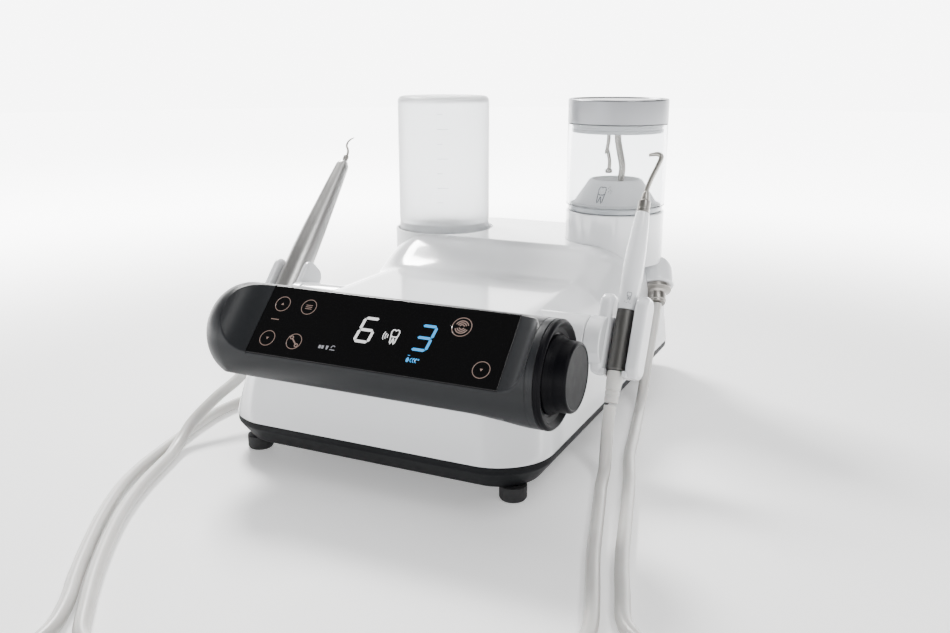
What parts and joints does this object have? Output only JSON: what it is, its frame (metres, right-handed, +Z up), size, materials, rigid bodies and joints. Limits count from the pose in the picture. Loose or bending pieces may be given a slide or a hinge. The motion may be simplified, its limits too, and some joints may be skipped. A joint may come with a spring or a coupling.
{
  "type": "ultrasonic dental scaler",
  "caption": "Table-top ultrasonic scaler and powder polisher with a tilted control drum, side dial, water bottle, powder chamber and two hosed handpieces in swivelling holders.",
  "frame": {"origin": "under the middle of the unit on the table surface, hoses left out", "axes": "+X to the dial side, -Y towards the user, +Z up"},
  "size_m": [0.4643, 0.6784, 0.239],
  "materials": {
    "white_gloss": "glossy moulded plastic",
    "white_matte": "satin moulded plastic",
    "black_plastic": "fine grain moulded plastic",
    "grey_plastic": "moulded plastic",
    "charcoal": "satin charcoal coating",
    "black_gloss": "polished plastic",
    "black_glass": "printed glass",
    "rubber_feet": "matte rubber",
    "seal_rubber": "matte rubber",
    "hose_silicone": "smooth silicone",
    "steel": "fine brushed",
    "nickel": "satin nickel",
    "brass_fitting": "turned",
    "aluminium": "brushed",
    "satin_sleeve": "bead blasted satin",
    "dark_grip": "dark satin",
    "grey_ring": "smooth",
    "clear_wall": "clear moulded plastic",
    "frosted_bottle": "frosted moulded plastic",
    "blue_cap": "smooth",
    "blue_tube": "smooth tube",
    "circuit_board": "solder resist",
    "board_parts": "moulded packages",
    "copper_winding": "varnished winding"
  },
  "bodies": {
    "root": {"base_pan": "black_plastic", "foot_pads": "rubber_feet", "foot_screws": "steel", "cover_shell": "white_gloss", "rear_panel": "grey_plastic", "rear_screws": "steel", "power_inlet": "black_plastic", "control_socket": "nickel", "air_inlet": "brass_fitting", "water_inlet": "nickel", "drum_shell": "charcoal", "dial_bezel": "black_gloss", "display_glass": "black_glass", "display_board": "circuit_board", "dial_encoder": "steel", "main_board": "circuit_board", "board_parts": "board_parts", "heat_sink": "aluminium", "transformer": "copper_winding", "water_pump": "grey_plastic", "valve_block": "aluminium", "air_regulator": "grey_plastic", "water_line": "blue_tube", "air_line": "blue_tube", "bottle_dock": "white_matte", "chamber_dock": "white_matte", "dock_seal": "seal_rubber", "pivot_boss_left": "white_gloss", "pivot_boss_right": "white_gloss", "port_left": "white_gloss", "port_right": "white_gloss", "connector_left": "nickel", "connector_right": "nickel", "hose_left": "hose_silicone", "coil_left": "hose_silicone", "hose_right": "hose_silicone", "coil_right": "hose_silicone"},
    "dial": {"dial_knob": "black_gloss"},
    "holder_left": {"holder_left": "white_gloss"},
    "holder_right": {"holder_right": "white_gloss"},
    "scaler": {"scaler_tail": "white_gloss", "scaler_sleeve": "satin_sleeve", "scaler_nose": "satin_sleeve", "scaler_tip": "steel", "boot_left": "hose_silicone"},
    "polisher": {"polisher_grip": "dark_grip", "polisher_barrel": "white_gloss", "polisher_collar": "nickel", "boot_right": "hose_silicone"},
    "nozzle": {"polisher_nozzle": "steel"},
    "chamber": {"chamber_foot": "grey_ring", "powder_cone": "white_matte", "chamber_wall": "clear_wall"},
    "lid": {"lid_plug": "grey_ring", "air_tube": "steel", "powder_tube": "steel"},
    "cap": {"cap_ring": "aluminium"},
    "bottle": {"bottle_cap": "blue_cap", "water_bottle": "frosted_bottle"},
    "rocker": {"power_rocker": "black_plastic"}
  },
  "joints": [
    {"name": "dial_turn", "type": "hinge", "parent": "root", "child": "dial", "pos_m": [0.135, -0.152, 0.093], "axis": [1, 0, 0], "continuous": true},
    {"name": "holder_left_swivel", "type": "hinge", "parent": "root", "child": "holder_left", "pos_m": [-0.118, -0.045, 0.084], "axis": [-1, 0, 0], "range_deg": [-30, 16]},
    {"name": "holder_right_swivel", "type": "hinge", "parent": "root", "child": "holder_right", "pos_m": [0.118, -0.045, 0.084], "axis": [-1, 0, 0], "range_deg": [-16, 34]},
    {"name": "scaler_lift", "type": "slide", "parent": "holder_left", "child": "scaler", "axis": [0, 0.6884, 0.7254], "range_m": [0, 0.06]},
    {"name": "polisher_lift", "type": "slide", "parent": "holder_right", "child": "polisher", "axis": [0, 0.4384, 0.8988], "range_m": [0, 0.06]},
    {"name": "nozzle_turn", "type": "hinge", "parent": "polisher", "child": "nozzle", "pos_m": [0.138, 0.00487, 0.17461], "axis": [0, 0.4384, 0.8988], "continuous": true},
    {"name": "chamber_lift", "type": "slide", "parent": "root", "child": "chamber", "axis": [0, 0, 1], "range_m": [0, 0.06]},
    {"name": "lid_lift", "type": "slide", "parent": "chamber", "child": "lid", "axis": [0, 0, 1], "range_m": [0, 0.08]},
    {"name": "cap_twist", "type": "hinge", "parent": "lid", "child": "cap", "pos_m": [0.079, 0.127, 0.23], "axis": [0, 0, 1], "range_deg": [0, 60]},
    {"name": "bottle_lift", "type": "slide", "parent": "root", "child": "bottle", "axis": [0, 0, 1], "range_m": [0, 0.06]},
    {"name": "rocker_tilt", "type": "hinge", "parent": "root", "child": "rocker", "pos_m": [-0.072, 0.172, 0.08], "axis": [1, 0, 0], "range_deg": [-16, 0]}
  ]
}
